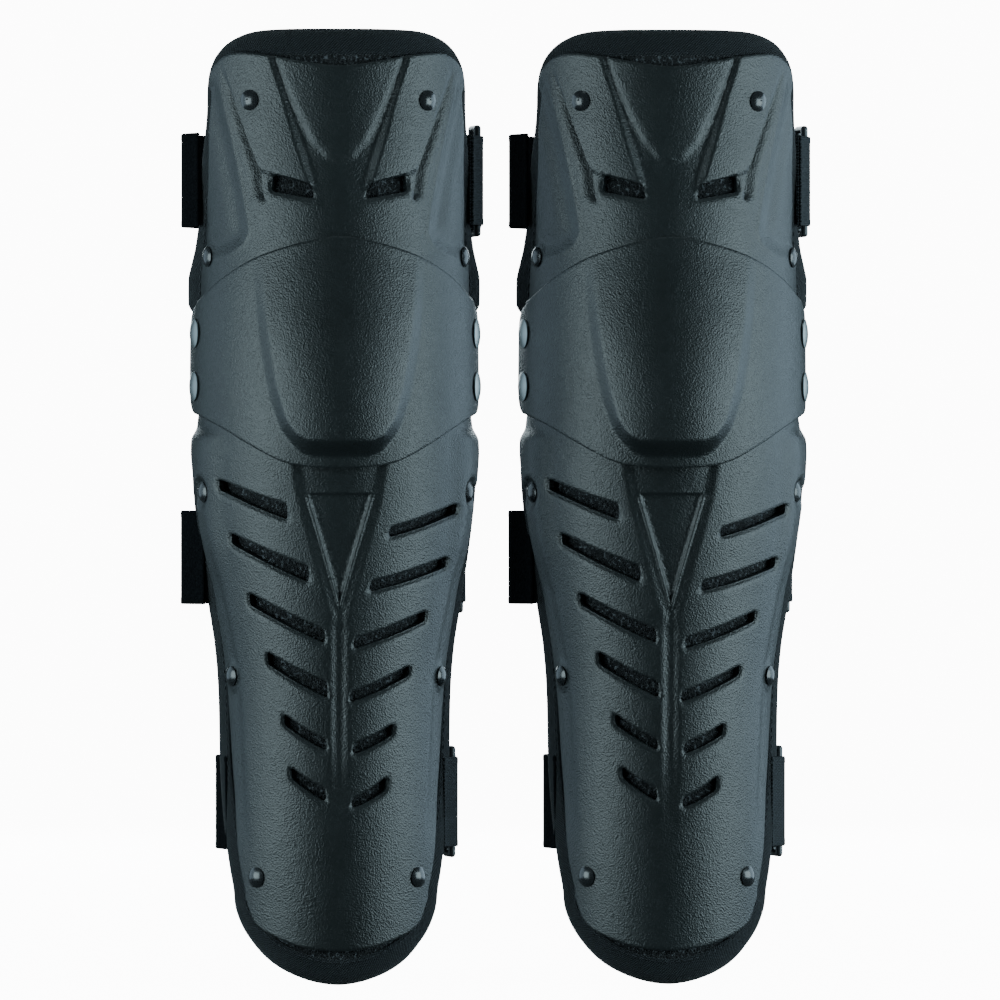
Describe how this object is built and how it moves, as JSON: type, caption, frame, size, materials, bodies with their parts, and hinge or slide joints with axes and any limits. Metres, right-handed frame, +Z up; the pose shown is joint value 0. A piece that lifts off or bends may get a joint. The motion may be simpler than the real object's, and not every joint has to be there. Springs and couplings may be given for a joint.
{
  "type": "knee guards",
  "caption": "Hinged knee and shin guards for motorcycling: hard thigh, knee and vented shin plates over a padded liner, closed by elastic straps through plastic rings.",
  "frame": {"origin": "midway between the two guards, on the hinge axes' vertical plane, level with the liners' lower edges", "axes": "+Z up the legs, -Y towards the knees' front, +X from the left guard to the right one as seen from the front"},
  "size_m": [0.3232, 0.153, 0.4845],
  "materials": {
    "hard_shell": "satin, fine moulded grain",
    "hinge_steel": "polished zinc-plated steel",
    "slip_washer": "natural nylon",
    "black_rivet": "black lacquered dome",
    "air_mesh": "knitted spacer mesh",
    "foam_lining": "brushed knit over closed-cell foam",
    "binding": "folded woven binding tape",
    "elastic": "herringbone elastic webbing",
    "webbing": "plain woven webbing",
    "hook_tape": "hook fastening tape",
    "ring_plastic": "moulded acetal"
  },
  "bodies": {
    "left_knee": {"left_knee_cup": "hard_shell", "left_hinge_rivets": "hinge_steel", "left_hinge_spacers": "slip_washer", "left_hinge_washers": "hinge_steel", "left_knee_pad": "foam_lining"},
    "left_thigh": {"left_thigh_plate": "hard_shell", "left_thigh_mesh": "air_mesh", "left_thigh_foam": "foam_lining", "left_thigh_binding": "binding", "left_thigh_rivets": "black_rivet", "left_thigh_rivet_washers": "hinge_steel", "left_top_strap": "elastic", "left_top_ring_tab": "webbing", "left_top_hook_patch": "hook_tape"},
    "left_shin": {"left_shin_plate": "hard_shell", "left_shin_mesh": "air_mesh", "left_shin_foam": "foam_lining", "left_shin_binding": "binding", "left_shin_rivets": "black_rivet", "left_shin_rivet_washers": "hinge_steel", "left_mid_strap": "elastic", "left_mid_ring_tab": "webbing", "left_mid_hook_patch": "hook_tape", "left_low_strap": "elastic", "left_low_ring_tab": "webbing", "left_low_hook_patch": "hook_tape"},
    "left_top_ring": {"left_top_ring": "ring_plastic"},
    "left_mid_ring": {"left_mid_ring": "ring_plastic"},
    "left_low_ring": {"left_low_ring": "ring_plastic"},
    "right_knee": {"right_knee_cup": "hard_shell", "right_hinge_rivets": "hinge_steel", "right_hinge_spacers": "slip_washer", "right_hinge_washers": "hinge_steel", "right_knee_pad": "foam_lining"},
    "right_thigh": {"right_thigh_plate": "hard_shell", "right_thigh_mesh": "air_mesh", "right_thigh_foam": "foam_lining", "right_thigh_binding": "binding", "right_thigh_rivets": "black_rivet", "right_thigh_rivet_washers": "hinge_steel", "right_top_strap": "elastic", "right_top_ring_tab": "webbing", "right_top_hook_patch": "hook_tape"},
    "right_shin": {"right_shin_plate": "hard_shell", "right_shin_mesh": "air_mesh", "right_shin_foam": "foam_lining", "right_shin_binding": "binding", "right_shin_rivets": "black_rivet", "right_shin_rivet_washers": "hinge_steel", "right_mid_strap": "elastic", "right_mid_ring_tab": "webbing", "right_mid_hook_patch": "hook_tape", "right_low_strap": "elastic", "right_low_ring_tab": "webbing", "right_low_hook_patch": "hook_tape"},
    "right_top_ring": {"right_top_ring": "ring_plastic"},
    "right_mid_ring": {"right_mid_ring": "ring_plastic"},
    "right_low_ring": {"right_low_ring": "ring_plastic"}
  },
  "joints": [
    {"name": "left_lower_hinge", "type": "hinge", "parent": "left_shin", "child": "left_knee", "pos_m": [-0.084, 0, 0.304], "axis": [-1, 0, 0], "range_deg": [0, 30]},
    {"name": "left_upper_hinge", "type": "hinge", "parent": "left_knee", "child": "left_thigh", "pos_m": [-0.084, 0, 0.331], "axis": [-1, 0, 0], "range_deg": [0, 30]},
    {"name": "left_top_ring_swing", "type": "hinge", "parent": "left_thigh", "child": "left_top_ring", "pos_m": [-0.01072, 0.01454, 0.4095], "axis": [0, 0, 1], "range_deg": [-3, 3]},
    {"name": "left_mid_ring_swing", "type": "hinge", "parent": "left_shin", "child": "left_mid_ring", "pos_m": [-0.01945, 0.01942, 0.2168], "axis": [0, 0, 1], "range_deg": [-3, 3]},
    {"name": "left_low_ring_swing", "type": "hinge", "parent": "left_shin", "child": "left_low_ring", "pos_m": [-0.02377, 0.01379, 0.0918], "axis": [0, 0, 1], "range_deg": [-3, 3]},
    {"name": "right_lower_hinge", "type": "hinge", "parent": "right_shin", "child": "right_knee", "pos_m": [0.084, 0, 0.304], "axis": [-1, 0, 0], "range_deg": [0, 30]},
    {"name": "right_upper_hinge", "type": "hinge", "parent": "right_knee", "child": "right_thigh", "pos_m": [0.084, 0, 0.331], "axis": [-1, 0, 0], "range_deg": [0, 30]},
    {"name": "right_top_ring_swing", "type": "hinge", "parent": "right_thigh", "child": "right_top_ring", "pos_m": [0.15728, 0.01454, 0.4095], "axis": [0, 0, 1], "range_deg": [-3, 3]},
    {"name": "right_mid_ring_swing", "type": "hinge", "parent": "right_shin", "child": "right_mid_ring", "pos_m": [0.14855, 0.01942, 0.2168], "axis": [0, 0, 1], "range_deg": [-3, 3]},
    {"name": "right_low_ring_swing", "type": "hinge", "parent": "right_shin", "child": "right_low_ring", "pos_m": [0.14423, 0.01379, 0.0918], "axis": [0, 0, 1], "range_deg": [-3, 3]},
    {"name": "pair_spacing", "type": "slide", "parent": "left_shin", "child": "right_shin", "axis": [1, 0, 0], "range_m": [0, 0.2]}
  ]
}
